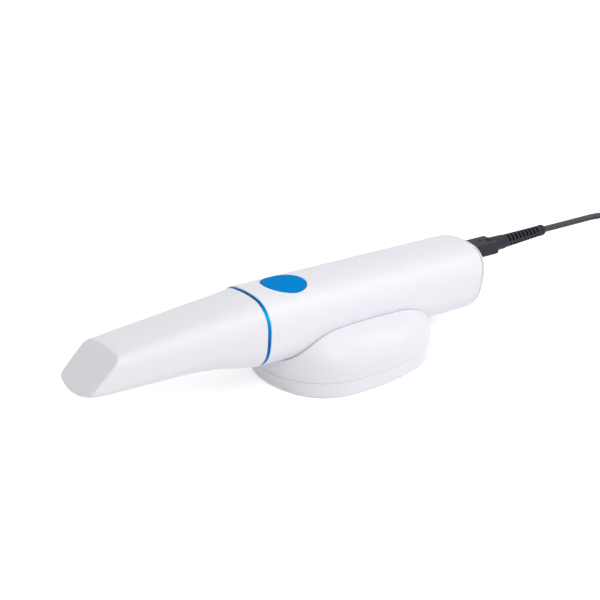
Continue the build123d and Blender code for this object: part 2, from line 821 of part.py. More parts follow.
# Cable: a tube from the relief to the coil, the put-away coil, a short tail and the far plug
cable_radius = cable_diameter / 2
relief_mouth = lead(relief_end + seat_gap / 2).origin
coil_middle = (coil_x, coil_y)
coil_top = coil_layers * coil_rise


def cord(points, label):
    # Straight runs joined by arcs, each as large as its two runs allow
    spots = [Vector(*point) for point in points]
    runs = [(b - a).length for a, b in zip(spots, spots[1:])]
    radii = []
    for i in range(1, len(spots) - 1):
        turn = (spots[i] - spots[i - 1]).get_angle(spots[i + 1] - spots[i])
        radii.append(0.45 * min(runs[i - 1], runs[i]) / tan(radians(turn / 2)))
    with BuildPart() as tube:
        with BuildLine() as path:
            FilletPolyline(*spots, radius=radii)
        with BuildSketch(Plane(origin=path.wire() @ 0, z_dir=path.wire() % 0)) as outline:
            Circle(cable_radius)
        sweep(outline.sketch, path=path.wire())
    length = path.wire().length
    share = tube.part.volume / (pi * cable_radius**2 * length)
    bends = [round(radius) for radius in radii]
    print(label, "length", round(length, 1), "volume share", round(share, 4), "radii", bends)
    finish(tube, label)


cord([tuple(relief_mouth)] + cable_route, "cable")
cord(tail_route, "cable_tail")

with BuildPart() as cable_coil:
    with BuildSketch(Plane.XY) as coil_ring:
        with Locations(coil_middle):
            Circle(coil_outer)
            Circle(coil_inner, mode=Mode.SUBTRACT)
    extrude(coil_ring.sketch, amount=coil_top)
    fillet(edges().group_by(Axis.Z)[-1], coil_rounding)
    fillet(edges().group_by(Axis.Z)[0], coil_foot_rounding)
finish(cable_coil, "cable_coil")

# Far plug: a moulded grip with a short boot, and its metal shell, lying on the desk beside the coil
tail_end = Vector(*tail_route[-1]) - Vector(seat_gap / 2, 0, 0)
far_plug = Plane(origin=tail_end, x_dir=(0, 1, 0), z_dir=(-1, 0, 0))
with BuildPart() as far_plug_grip:
    disc(far_plug, cable_radius + far_boot_wall, far_boot_length + far_grip_corner)
    grip_start = far_plug.offset(far_boot_length)
    block(grip_start, far_grip_width, far_grip_height, far_grip_length, far_grip_corner)
    fillet(end_face(far_plug).edges(), far_rounding)
finish(far_plug_grip, "far_plug_grip")

with BuildPart() as far_plug_shell:
    start = far_plug.offset(far_boot_length + far_grip_length)
    inner_width = far_shell_width - 2 * far_shell_wall
    inner_height = far_shell_height - 2 * far_shell_wall
    block(start, far_shell_width, far_shell_height, far_shell_length)
    block(start.offset(far_shell_floor), inner_width, inner_height, far_shell_length, mode=Mode.SUBTRACT)
finish(far_plug_shell, "far_plug_shell")

# Small screws that hold the two boards on the bench's posts
with BuildPart() as board_screws:
    for posts, top in ((button_posts, button_board_z), (main_posts, main_board_z)):
        for x in posts:
            for y in (-post_y, post_y):
                disc(level(top + board_thick + seat_gap / 2, x, y), screw_head, screw_head_depth)
finish(board_screws, "board_screws")
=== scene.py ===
from math import cos, pi, radians, sin

import bmesh
import bpy
import numpy as np
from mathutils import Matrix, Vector


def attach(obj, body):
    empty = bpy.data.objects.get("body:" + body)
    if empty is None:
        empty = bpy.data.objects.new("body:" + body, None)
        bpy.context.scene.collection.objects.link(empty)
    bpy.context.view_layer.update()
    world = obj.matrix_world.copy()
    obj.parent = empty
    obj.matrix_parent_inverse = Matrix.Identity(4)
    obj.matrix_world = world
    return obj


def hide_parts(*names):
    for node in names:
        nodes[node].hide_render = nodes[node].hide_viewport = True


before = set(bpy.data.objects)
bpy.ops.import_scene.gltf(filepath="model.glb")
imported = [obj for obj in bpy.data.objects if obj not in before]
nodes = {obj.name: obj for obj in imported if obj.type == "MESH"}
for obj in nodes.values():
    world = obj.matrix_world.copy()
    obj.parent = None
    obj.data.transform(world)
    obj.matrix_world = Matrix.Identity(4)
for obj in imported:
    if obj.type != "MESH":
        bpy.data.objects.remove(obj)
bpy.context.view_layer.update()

mm = 0.001

# Camera, as the photograph was taken: where it stands, how it is turned and its lens
view = {"azimuth": 39.27, "elevation": 24.78, "place": (-0.40816, -0.46682, 0.31690), "lens": 84.29,
        "sensor": 36, "nearest": 0.01}


def addObject(name, data):
    # A new object in the scene, at the origin and unturned
    thing = bpy.data.objects.new(name, data)
    bpy.context.scene.collection.objects.link(thing)
    return thing


def placeCamera():
    data = bpy.data.cameras.new("camera")
    data.lens = view["lens"]
    data.sensor_width = view["sensor"]
    data.clip_start = view["nearest"]
    camera = addObject("camera", data)
    camera.location = view["place"]
    camera.rotation_euler = radians(90 - view["elevation"]), 0, -radians(view["azimuth"])
    bpy.context.scene.camera = camera


placeCamera()
print("camera placed")

# Sizes of the wand in its own millimetres: x back along the wand from the light ring, y across, z up
wand = {"tilt": 4.0, "ringX": -60.0, "ringHeight": 34.9, "plugHeight": 9.315, "neckEnd": 172.0,
        "reliefLift": 1.7, "reliefLength": 31.85}


def wandPlace(x, y, z):
    # Wand millimetres to metres in the frame: turned nose up, then moved to where the ring lies
    lean = radians(wand["tilt"])
    along = wand["ringX"] + x * cos(lean) + z * sin(lean)
    up = wand["ringHeight"] - x * sin(lean) + z * cos(lean)
    return np.stack(np.broadcast_arrays(along, y, up), -1) * mm


# Cable: its route over the desk, then the put-away coil wound in layers, then a tail to the far plug
cable = {
    "diameter": 3.4,
    "length": 1.99,
    "route": [(171.0, 0.0, 29.1), (193.0, 0.1, 27.6), (207.0, 0.3, 23.0), (219.5, 0.5, 16.4),
              (231.0, 0.3, 12.6)],
    "tail": [(231.0, -48.5, 1.8), (223.0, -48.6, 2.1), (215.5, -48.9, 3.8), (208.0, -48.9, 3.8)],
    "coilMiddle": (230.0, -24.0),
    "radii": [24.5, 21.0, 17.5, 14.0],
    "heights": [12.1, 8.65, 5.2, 1.75],
    "pointsPerTurn": 20,
    "shift": 0.2,  # the share of a turn over which it changes to the next place
    "bevelSteps": 8,
    "stepsPerPoint": 6,
}


def coilPoints():
    # One point after another round the coil: layers from the top down, each turn a diameter from the last,
    # out and in by turns, so that the cable ends at the outside on the desk
    places = []
    for layer, height in enumerate(cable["heights"]):
        order = cable["radii"] if layer % 2 == 0 else cable["radii"][::-1]
        places += [(radius, height) for radius in order]
    steps = cable["pointsPerTurn"]
    widen = 1 / cos(pi / steps)
    middleX, middleY = cable["coilMiddle"]
    points = []
    for i in range(1, int((len(places) - 0.5) * steps)):
        turn = i / steps
        now = places[int(turn)]
        following = places[min(int(turn) + 1, len(places) - 1)]
        blend = max(0.0, (turn % 1 - 1 + cable["shift"]) / cable["shift"])
        blend = blend * blend * (3 - 2 * blend)
        radius, height = [first + (last - first) * blend for first, last in zip(now, following)]
        angle = 2 * pi * turn
        points.append((middleX + radius * widen * sin(angle), middleY + radius * widen * cos(angle), height))
    return points


def reliefPlace(share):
    # A point on the strain relief's axis, from 0 at the neck to 1 at its mouth
    reach, lift = wand["reliefLength"] * share, radians(wand["reliefLift"])
    return wandPlace(wand["neckEnd"] + reach * cos(lift), 0.0, wand["plugHeight"] + reach * sin(lift))


reliefStart, mouth = reliefPlace(0), reliefPlace(1)


def layCable():
    # One smooth curve: its control points are the relief's mouth, the route, the coil and the tail
    points = [tuple(mouth)]
    for point in cable["route"] + coilPoints() + cable["tail"]:
        points.append(tuple(Vector(point) * mm))
    curve = bpy.data.curves.new("cableLine", "CURVE")
    curve.dimensions = "3D"
    curve.bevel_depth = 1.0  # times each point's radius, which the curve's box goes by
    curve.bevel_resolution = cable["bevelSteps"]
    curve.resolution_u = cable["stepsPerPoint"]
    curve.use_fill_caps = True
    spline = curve.splines.new("NURBS")
    spline.points.add(len(points) - 1)
    spline.points.foreach_set("co", np.column_stack([np.array(points), np.ones(len(points))]).ravel())
    spline.points.foreach_set("radius", np.full(len(points), cable["diameter"] * mm / 2))
    spline.order_u = 3
    spline.use_endpoint_u = True
    piece = addObject("cableLead", curve)
    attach(piece, "base")
    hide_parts("cable", "cable_coil", "cable_tail")
    return piece


cableLead = layCable()
print("cable laid")


# Surfaces: every shape below is a grid of points worked out as whole arrays and welded into one mesh
def column(values):
    # Values one under another, so that each goes with a row of a grid
    return np.asarray(values, float).reshape(-1, 1)


def bulgeArc(reach, bulge, corner):
    # The radius and half the turn of an arc that bulges out between two corner arcs and touches both. Their
    # middles lie a reach to either side of its own
    radius = (reach**2 + (bulge + corner) ** 2 - corner**2) / (2 * bulge)
    return radius, np.arctan2(reach, radius - bulge - corner)


def ovalRing(width, height, corner, crown, flank, steps, keel=None):
    # Eight tangent arcs round a soft rectangle: the top bulges by the crown, the sides by the flank and the
    # underside by the keel, with a corner arc between. Rows are sections, columns go once round from the
    # top's +Y end. Gives across, up and the direction of the surface as an angle
    keel = crown if keel is None else keel
    halfWidth, halfHeight = width / 2, height / 2
    cornerX, cornerY = halfWidth - flank - corner, halfHeight - (crown + keel) / 2 - corner
    shift = (keel - crown) / 2
    flankRadius, flankTurn = bulgeArc(cornerY, flank, corner)
    bulges = [bulgeArc(cornerX, bulge, corner) for bulge in (crown, keel)]
    bulgeSteps, cornerSteps, flankSteps = steps
    arcs = []
    for half, side in ((0, 1), (1, -1)):
        base = pi * half
        (radius, first), (_, second) = bulges[half], bulges[1 - half]
        arcs += [
            (base + pi / 2 - first, 2 * first, 0, side * (halfHeight - radius), radius, bulgeSteps),
            (base + pi / 2 + first, pi / 2 - first - flankTurn, -side * cornerX, shift + side * cornerY,
             corner, cornerSteps),
            (base + pi - flankTurn, 2 * flankTurn, -side * (halfWidth - flankRadius), shift,
             flankRadius, flankSteps),
            (base + pi + flankTurn, pi / 2 - second - flankTurn, -side * cornerX, shift - side * cornerY,
             corner, cornerSteps),
        ]
    across, up, facing = [], [], []
    done = 0
    for *arc, count in arcs:
        # A value that changes from column to column gives each arc its own columns
        start, turn, middleX, middleY, radius = [
            value[:, done:done + count] if np.ndim(value) == 2 and value.shape[1] > 1 else value
            for value in arc]
        angle = start + turn * (np.arange(count) / count).reshape(1, -1)
        across.append(middleX + radius * np.cos(angle))
        up.append(middleY + radius * np.sin(angle))
        facing.append(angle + 0 * across[-1])
        done += count
    return np.hstack(across), np.hstack(up), np.hstack(facing)


def stepCount(steps):
    # How many columns such a ring has
    return 4 * steps[1] + 2 * steps[0] + 2 * steps[2]


def closed(grid):
    # A grid with its first column again at the end, so that it closes round
    return np.concatenate([grid, grid[:, :1]], axis=1)


def unit(vectors):
    # The same directions, each one long
    return vectors / np.maximum(np.linalg.norm(vectors, axis=-1, keepdims=True), 1e-12)


def roundEdge(corner, back, inward, radius, steps=6, along=None):
    # A round between two surfaces that meet at a line: for each of its points, an arc of the given radius
    # that starts on the surface going back and ends on the surface going inward, as a rational quadratic.
    # Where the way back isn't square to the line, which then runs along, the start moves back to suit
    back, inward = unit(back), unit(inward)
    square = back if along is None else back - (back * along).sum(-1, keepdims=True) * along
    lean = np.linalg.norm(square, axis=-1, keepdims=True)
    half = np.arccos(np.clip((square / lean * inward).sum(-1, keepdims=True), -1, 1)) / 2
    reach = radius / np.tan(half)
    weight = np.sin(half)
    share = np.linspace(0, 1, steps + 1).reshape(-1, 1, 1)
    start, end = corner + reach / lean * back, corner + reach * inward
    low, mid, high = (1 - share) ** 2, 2 * weight * share * (1 - share), share**2
    return (low * start + mid * corner + high * end) / (low + mid + high)


def quarter(size, steps=4):
    # A quarter round over an edge: how deep each point lies below the face, and how far back from the edge
    turn = np.linspace(0, pi / 2, steps + 1)
    return size * (1 - np.cos(turn)), size * (1 - np.sin(turn))


def sunk(across, up, facing, depths):
    # An outline moved inwards, with a row for each depth
    return across - column(depths) * np.cos(facing), up - column(depths) * np.sin(facing)


def shrinkTo(loop, centre, steps):
    # Rings from a loop in to one point
    share = np.linspace(1, 0, steps + 1).reshape(-1, 1, 1)
    return centre + (loop - centre) * share


near = 2e-6  # metres, within which points are one
sharpTurn = 32.0  # degrees, over which an edge stays sharp


def gridMesh(name, grids):
    # Joins grids of points in metres into one closed mesh with its faces pointing outwards
    points, quads, first = [], [], 0
    for grid in grids:
        rows, cols = grid.shape[:2]
        index = first + np.arange(rows * cols).reshape(rows, cols)
        corners = index[:-1, :-1], index[:-1, 1:], index[1:, 1:], index[1:, :-1]
        quads.append(np.stack(corners, -1).reshape(-1, 4))
        points.append(grid.reshape(-1, 3))
        first += rows * cols
    mesh = bpy.data.meshes.new(name)
    mesh.from_pydata(np.vstack(points).tolist(), [], np.vstack(quads).tolist())
    work = bmesh.new()
    work.from_mesh(mesh)
    bmesh.ops.remove_doubles(work, verts=work.verts, dist=near)
    bmesh.ops.dissolve_degenerate(work, edges=work.edges, dist=near)
    bmesh.ops.recalc_face_normals(work, faces=work.faces)
    work.to_mesh(mesh)
    work.free()
    return mesh


def shade(mesh, sharp=sharpTurn):
    # Smooth all over, but for the sharp edges
    mesh.polygons.foreach_set("use_smooth", np.ones(len(mesh.polygons), bool))
    mesh.set_sharp_from_angle(angle=radians(sharp))


def addPiece(name, mesh, body, slot, finishName, node, sharp=sharpTurn):
    # A finished mesh as a piece, with its finish, the body it rides on and the node it replaces; the slot is
    # not used
    mesh.materials.clear()
    mesh.materials.append(finishes[finishName])
    shade(mesh, sharp)
    piece = addObject(name, mesh)
    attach(piece, body)
    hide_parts(node)
    return piece


def weld(name, grids, *details):
    # The details are the piece's body, slot, finish and node, and how sharp its edges are
    return addPiece(name, gridMesh(name, grids), *details)


def softened(node, name, body, slot, finishName, width):
    # A copy of a CAD node with its loose triangles merged and its edges rounded
    mesh = nodes[node].data.copy()
    work = bmesh.new()
    work.from_mesh(mesh)
    bmesh.ops.remove_doubles(work, verts=work.verts, dist=near)
    bmesh.ops.dissolve_limit(work, angle_limit=radians(1), verts=work.verts, edges=work.edges)
    work.to_mesh(mesh)
    work.free()
    piece = addPiece(name, mesh, body, slot, finishName, node)
    bevel = piece.modifiers.new("edges", "BEVEL")
    bevel.width = width * mm
    bevel.segments = 2
    bevel.limit_method = "ANGLE"
    bevel.angle_limit = radians(30)
    bevel.harden_normals = True


def cutAway(piece, cutter):
    # Takes a cutter's space out of a piece and leaves plain mesh
    change = piece.modifiers.new("cut", "BOOLEAN")
    change.operation = "DIFFERENCE"
    change.object = cutter
    change.solver = "EXACT"
    bpy.context.view_layer.update()
    cut = bpy.data.meshes.new_from_object(piece.evaluated_get(bpy.context.evaluated_depsgraph_get()))
    piece.modifiers.clear()
    piece.data = cut
    shade(cut)
    bpy.data.objects.remove(cutter)


# Materials: node maths is written as Python on shader sockets
white = (1, 1, 1, 1)


class Signal:
    # A socket that Python can calculate with: each operation adds a Math node
    def __init__(self, finish, socket):
        self.finish = finish
        self.socket = socket

    def __add__(self, other):
        return self.finish.maths("ADD", self, other)

    def __sub__(self, other):
        return self.finish.maths("SUBTRACT", self, other)

    def __mul__(self, other):
        return self.finish.maths("MULTIPLY", self, other)

    def __rsub__(self, other):
        return self.finish.maths("SUBTRACT", other, self)

    __radd__ = __add__
    __rmul__ = __mul__


class Finish:
    # One material or world made of nodes
    def __init__(self, name, library=bpy.data.materials):
        self.owner = library.new(name)
        self.owner.use_nodes = True
        self.tree = self.owner.node_tree
        self.tree.nodes.clear()

    def node(self, kind, inputs=None, output=0, **settings):
        # Adds a node: its settings first, then the values or links of its sockets
        node = self.tree.nodes.new(kind)
        for key, value in settings.items():
            setattr(node, key, value)
        for key, value in (inputs or {}).items():
            if isinstance(value, Signal):
                self.tree.links.new(value.socket, node.inputs[key])
            else:
                node.inputs[key].default_value = value
        return Signal(self, node.outputs[output]) if len(node.outputs) else None

    def surface(self, signal):
        self.node("ShaderNodeOutputMaterial", {"Surface": signal})
        return self.owner

    def maths(self, operation, first, second):
        return self.node("ShaderNodeMath", {0: first, 1: second}, operation=operation)

    def vector(self, operation, *values, output=0):
        return self.node("ShaderNodeVectorMath", dict(enumerate(values)), output, operation=operation)

    def place(self):
        return self.node("ShaderNodeTexCoord", None, "Object")

    def part(self, vector, axis):
        return self.node("ShaderNodeSeparateXYZ", {0: vector}, axis)

    def spread(self, value, low, high, **settings):
        # 0 where the value is low, 1 where it is high
        sockets = {"Value": value, "From Min": low, "From Max": high}
        return self.node("ShaderNodeMapRange", sockets, **settings)

    def noise(self, size, detail=3.0, roughness=0.5, where=None):
        # Noise whose lumps are about size millimetres across
        return self.node("ShaderNodeTexNoise", {
            "Vector": where or self.place(), "Scale": 1 / (size * mm), "Detail": detail,
            "Roughness": roughness})

    def ramp(self, factor, stops):
        # Colours along a factor, each stop a place from 0 to 1 and its colour
        signal = self.node("ShaderNodeValToRGB", {"Fac": factor})
        elements = signal.socket.node.color_ramp.elements
        while len(elements) < len(stops):
            elements.new(1.0)
        for element, (place, colour) in zip(elements, stops):
            element.position = place
            element.color = linear(*colour)
        return signal

    def mix(self, factor, first, second):
        return self.node("ShaderNodeMix", {0: factor, 6: first, 7: second}, 2, data_type="RGBA")

    def bump(self, height, distance, **more):
        return self.node("ShaderNodeBump", {"Height": height, "Distance": distance * mm, **more})

    def principled(self, sockets):
        return self.surface(self.node("ShaderNodeBsdfPrincipled", sockets))


def linear(red, green, blue):
    # A colour given as 0 to 255, as the linear colour that the shader wants
    shares = np.array([red, green, blue]) / 255
    return (*np.where(shares < 0.04045, shares / 12.92, ((shares + 0.055) / 1.055) ** 2.4).tolist(), 1.0)


def scaled(colour, share):
    return tuple(min(1.0, value * share) for value in colour[:3]) + (1.0,)


def mouldedPlastic(name, colour, grain, depth, roughness, shade=0.975, scatter=0.0, specular=0.5,
                   tint=white, span=None, bands=None):
    # Moulded plastic: a fine spark-eroded grain, slow waves from the mould, cloudy gloss and faint handling
    # marks. A plastic with painted light bands changes its colour over a span of heights: painted highlight
    # and painted shade
    finish = Finish(name)
    pits = finish.noise(grain, 2.0)
    wave = finish.noise(18.0, 1.0)
    cloud = finish.noise(7.0, 4.0, 0.6)
    speck = finish.noise(0.9, 2.0)
    # Painted highlight and painted shade, set by height rather than by the lamps
    if bands:
        low, high = span
        height = finish.part(finish.place(), "Z")
        tone = finish.ramp((height - low * mm) * (1 / ((high - low) * mm)), bands)
    else:
        plain = linear(*colour)
        tone = finish.mix(cloud, scaled(plain, shade), scaled(plain, 1.02))
    return finish.principled({
        "Base Color": tone, "IOR": 1.49,
        "Roughness": roughness + (cloud - 0.5) * 0.1 + (speck - 0.5) * 0.04,
        "Normal": finish.bump(pits, depth, Normal=finish.bump(wave, 0.02)),
        "Specular IOR Level": specular, "Specular Tint": tint, "Subsurface Weight": scatter,
        "Subsurface Radius": (1.0, 0.9, 0.8), "Subsurface Scale": 0.0012})


def metal(name, colour, roughness, grain, depth, stretch):
    # Bare metal with drawn or machined lines: noise stretched along one direction
    finish = Finish(name)
    drawn = finish.node("ShaderNodeMapping", {"Vector": finish.place(), "Scale": stretch})
    lines = finish.noise(grain, 3.0, 0.6, drawn)
    cloud = finish.noise(5.0, 3.0)
    return finish.principled({
        "Base Color": finish.mix(lines, scaled(colour, 0.85), colour), "Metallic": 1.0,
        "Roughness": roughness + (cloud - 0.5) * 0.12, "Normal": finish.bump(lines, depth)})


def clearGlass(name, colour):
    # Coated optical glass, clear with a faint tint and a trace of dust
    finish = Finish(name)
    dust = finish.noise(0.6, 3.0)
    return finish.principled({
        "Base Color": colour, "Roughness": 0.02 + dust * 0.03, "Transmission Weight": 1.0, "IOR": 1.52})


def mirrorFace(name):
    # Front-silvered glass with very faint wipe marks
    finish = Finish(name)
    wipe = finish.noise(2.5, 3.0)
    return finish.principled({
        "Base Color": (0.9, 0.91, 0.92, 1), "Metallic": 1.0, "Roughness": 0.015 + wipe * 0.03})


def circuitBoard(name):
    # Green solder mask over copper tracks that show as a faint raised pattern
    finish = Finish(name)
    tracks = finish.node("ShaderNodeTexBrick", {
        "Vector": finish.place(), "Scale": 420.0, "Color1": (0.012, 0.10, 0.035, 1),
        "Color2": (0.015, 0.12, 0.045, 1), "Mortar": (0.02, 0.17, 0.07, 1), "Mortar Size": 0.03}, offset=0.5)
    return finish.principled({
        "Base Color": tracks, "Roughness": 0.35 + (finish.noise(3.0) - 0.5) * 0.1,
        "Normal": finish.bump(finish.noise(0.5), 0.01)})


def softRubber(name, colour, roughness, depth, specular=0.25, slotShade=None):
    # Rubber or soft jacket: a dense fine pitting, dusty lighter patches and a matte sheen. With slot shade,
    # it adds painted shade deep in its slots
    finish = Finish(name)
    pits = finish.noise(0.25, 3.0, 0.6)
    dust = finish.noise(4.0, 4.0, 0.65)
    plain = linear(*colour)
    tone = finish.mix(dust, scaled(plain, 0.85), scaled(plain, 1.35))
    if slotShade:
        # Painted shade in the slots: nearly black below the tapering outside, found as the radius less the
        # taper, less the distance from the axis
        offset = finish.vector("SUBTRACT", finish.place(), slotShade["start"])
        reach = finish.vector("DOT_PRODUCT", offset, slotShade["along"], output="Value")
        square = finish.vector("CROSS_PRODUCT", offset, slotShade["along"])
        away = finish.vector("LENGTH", square, output="Value")
        below = slotShade["radius"] * mm - slotShade["taper"] * reach - away
        deep, shallow = slotShade["shadeDepths"]
        outside = finish.spread(below, deep * mm, shallow * mm)
        past = finish.maths("GREATER_THAN", reach, slotShade["end"] * mm)
        tone = finish.mix(finish.maths("MAXIMUM", outside, past), (0.002, 0.002, 0.003, 1), tone)
    return finish.principled({
        "Base Color": tone, "Roughness": roughness + (dust - 0.5) * 0.15, "Specular IOR Level": specular,
        "Normal": finish.bump(pits, depth)})


# Plastics: colour, the grain's size and depth in millimetres, roughness, and what is special
plastics = {
    "whiteShell": ((238, 237, 243), 0.16, 0.004, 0.36, {"scatter": 0.1, "specular": 0.35}),
    "tipWhite": ((236, 234, 238), 0.14, 0.003, 0.3, {"scatter": 0.1}),
    "cradleWhite": ((236, 234, 240), 0.2, 0.002, 0.38, {"scatter": 0.1}),
    "capWhite": ((226, 225, 231), 0.16, 0.004, 0.4, {"scatter": 0.1}),
    "buttonBlue": ((2, 137, 214), 0.12, 0.003, 0.45, {"shade": 0.96, "specular": 0.004}),
    # The ring's colour holds painted light: a painted highlight below its shoulder, and painted shade on top,
    # deep blue
    "ringBlue": (None, 0.3, 0.001, 0.2, {
        "specular": 0.3, "tint": (0.0, 0.75, 1.0, 1.0), "span": (17.4, 52.4),
        "bands": [(0.0, (0, 118, 204)), (0.46, (0, 102, 190)), (0.62, (0, 132, 212)),
                  (0.82, (0, 182, 255)), (0.92, (0, 118, 205)), (1.0, (0, 70, 128))]}),
    "blackPlastic": ((38, 38, 42), 0.15, 0.008, 0.5, {"shade": 0.9}),
    "chipBlack": ((30, 30, 33), 0.1, 0.006, 0.6, {"shade": 0.9}),
    "lampYellow": ((238, 220, 130), 0.1, 0.003, 0.3, {}),
}
plugRubber = ((53, 53, 60), 0.45, 0.012, 0.06)
# The strain relief's axis, its outside from the neck to the collar, and the depths over which the painted
# shade in its slots comes in
reliefSlotShade = {"start": tuple(reliefStart), "along": tuple(unit(mouth - reliefStart)), "radius": 3.55,
               "taper": 0.7 / 29.2, "end": 29.2, "shadeDepths": (0.3, 0.1)}
finishes = {name: mouldedPlastic(name, *row, **special) for name, (*row, special) in plastics.items()}
finishes.update({
    "aluminium": metal("aluminium", (0.62, 0.63, 0.65, 1), 0.32, 0.3, 0.003, (1, 6, 6)),
    "steel": metal("steel", (0.56, 0.56, 0.58, 1), 0.28, 0.25, 0.002, (1, 8, 8)),
    "glass": clearGlass("opticalGlass", (0.92, 0.97, 0.98, 1)),
    "mirror": mirrorFace("mirrorFace"),
    "board": circuitBoard("circuitBoard"),
    "liner": softRubber("linerGrey", (185, 184, 188), 0.6, 0.006),
    "rubber": softRubber("padGrey", (48, 48, 52), 0.65, 0.01),
    "plug": softRubber("plugGrey", *plugRubber),
    "relief": softRubber("reliefGrey", *plugRubber, reliefSlotShade),
    "cable": softRubber("cableGrey", (68, 68, 75), 0.5, 0.01, 0.2),
})
cableLead.data.materials.append(finishes["cable"])
print("materials made")

# Handle sleeve, and the button whose hole it has
handle = {
    "width": 40.0, "height": 34.9, "corner": 13.6, "crown": 0.47, "flank": 0.13, "wall": 2.0,
    "start": 0.75, "end": 137.1, "slant": 7.4, "rounding": 1.4, "lip": 0.2,
    "steps": (24, 22, 6), "intoCorner": 14, "rows": (8, 26, 60), "holeRows": 12, "holeCrowding": 1.3,
}
button = {"x": 22.4, "radius": 10.7, "gap": 0.3, "proud": 0.1, "base": 11.37, "flange": 1.3,
          "flangeThick": 1.1, "rounding": 0.35, "holeRounding": 0.3, "columns": 120, "rows": 15}
towardsTip = np.array([-1.0, 0, 0])


def handleRing(inset, steps=handle["steps"]):
    # The handle's outline, smaller all round by an inset, as across, up and facing
    return ovalRing(column([handle["width"] - 2 * inset]), column([handle["height"] - 2 * inset]),
                    handle["corner"] - inset, handle["crown"], handle["flank"], steps)


def handleCorner(offset):
    # Half the sizes of the handle's outline grown by an offset, then its corner's radius and middle
    halfWidth, halfHeight = handle["width"] / 2 + offset, handle["height"] / 2 + offset
    corner = handle["corner"] + offset
    cornerX, cornerY = halfWidth - handle["flank"] - corner, halfHeight - handle["crown"] - corner
    return halfWidth, halfHeight, corner, cornerX, cornerY


def handleTop(across, inset=0.0):
    # The height of the handle's top at a place across: the crown arc in the middle, then the corner arc
    _, halfHeight, corner, cornerX, cornerY = handleCorner(-inset)
    radius, turn = bulgeArc(cornerX, handle["crown"], corner)
    away = np.abs(across)
    middle = halfHeight - radius + np.sqrt(np.maximum(radius**2 - away**2, 0))
    side = cornerY + np.sqrt(np.maximum(corner**2 - (away - cornerX) ** 2, 0))
    return np.where(away <= radius * np.sin(turn), middle, side)


def slantPlane(offset, z):
    # Where the slanted rear plane, moved back by an offset, cuts a line along the wand at height z
    lean = radians(handle["slant"])
    return handle["end"] + offset / cos(lean) + z * np.tan(lean)


def slantInward(facing):
    # Directions in the slanted plane towards its middle, in wand coordinates
    lean = radians(handle["slant"])
    return np.stack([-np.sin(facing) * np.tan(lean), -np.cos(facing), -np.sin(facing)], -1)


def wandGrid(x, y, z):
    # A grid of points in wand millimetres, from values for its rows and its columns
    return np.stack(np.broadcast_arrays(x, y, z), -1)


def inFrame(grids):
    # Grids in wand millimetres to grids in metres in the frame
    return [wandPlace(grid[..., 0], grid[..., 1], grid[..., 2]) for grid in grids]


def allClosed(grids):
    return [closed(grid) for grid in grids]


def patchRoundHole(xs, across, inset, radius):
    # The surface between a round hole and the rectangle of grid points around it: straight lines in plan
    # from the circle to the rectangle, lifted onto the handle's top
    plan = wandGrid(column(xs), across, 0)
    loopX, loopY, _ = np.concatenate([plan[:, 0], plan[-1, 1:], plan[-2::-1, -1], plan[0, -2::-1]]).T
    angle = np.arctan2(loopY, loopX - button["x"])
    share = column(np.linspace(0, 1, handle["holeRows"] + 1) ** handle["holeCrowding"])
    x = (button["x"] + radius * np.cos(angle)) * (1 - share) + loopX * share
    y = radius * np.sin(angle) * (1 - share) + loopY * share
    return wandGrid(x, y, handleTop(y, inset)), angle


def handleSkin(inset, holeRadius):
    # One skin of the sleeve at an inset: rings along the wand, with a patch round the button's hole, and on
    # the outer skin the rounded rear edge. Gives also the angles round the hole
    shift, (frontRows, patchRows, rearRows) = handle["intoCorner"], handle["rows"]
    across, up, facing = [np.roll(value, shift, axis=1) for value in handleRing(inset)]
    top = handle["steps"][0] + 2 * shift
    reach = handleRing(0)[0][0, -shift]
    patchX = np.linspace(button["x"] - reach, button["x"] + reach, patchRows + 1)
    start = handle["start"] + (0 if inset else handle["lip"])
    front = wandGrid(column(np.linspace(start, patchX[0], frontRows + 1)), across, up)
    strip = wandGrid(column(patchX), closed(across)[:, top:], closed(up)[:, top:])
    patch, angle = patchRoundHole(patchX, across[0, :top + 1], inset, holeRadius)
    endX, edges = slantPlane(0, up), []
    if not inset:
        rim = wandGrid(endX, across, up)
        edges = [roundEdge(rim, towardsTip, slantInward(facing), handle["rounding"], 8)]
        endX = edges[0][:1, :, 0]
    rearX = patchX[-1] + (endX - patchX[-1]) * column(np.linspace(0, 1, rearRows + 1))
    rear = wandGrid(rearX, across, up)
    return [closed(front), strip, patch] + allClosed([rear] + edges), angle


def makeHandle():
    # The two skins, a lip that turns in at the front, the rear rim, and the hole's rounded edge and wall
    hole, edge = button["radius"] + button["gap"], button["holeRounding"]
    outer, angle = handleSkin(0, hole + edge)
    inner, _ = handleSkin(handle["wall"], hole)
    outline = [np.roll(value, handle["intoCorner"], axis=1) for value in handleRing(0)]
    deep, back = quarter(handle["lip"])
    lip = closed(wandGrid(column(handle["start"] + back), *sunk(*outline, deep)))
    frontRim = np.concatenate([lip[-1:], inner[0][:1]])
    rearRim = np.concatenate([outer[-1][-1:], inner[-1][-1:]])
    deep, back = quarter(edge)
    radius = column(hole + back)
    holeEdge = wandGrid(button["x"] + radius * np.cos(angle), radius * np.sin(angle),
                        handleTop((hole + edge) * np.sin(angle)) - column(deep))
    last = holeEdge[-1]
    floor = wandGrid(last[:, 0], last[:, 1], handleTop(last[:, 1], handle["wall"]))
    grids = outer + inner + [lip, frontRim, rearRim, holeEdge, np.stack([last, floor])]
    weld("handleSleeve", inFrame(grids), "base", "white_shell", "whiteShell", "handle_shell")


makeHandle()

# Rear cap: a plate in the slanted rear, with a spigot and its seat's inset
cap = {"inset": 0.45, "proud": 1.6, "gap": 0.1, "rounding": 0.9, "spigot": 5.0, "seat": 2.1, "wall": 2.0}


def slantRing(inset, offset):
    # The handle's outline at an inset, in the slanted rear plane moved back by an offset
    across, up, _ = handleRing(inset)
    return wandGrid(slantPlane(offset, up), across, up)


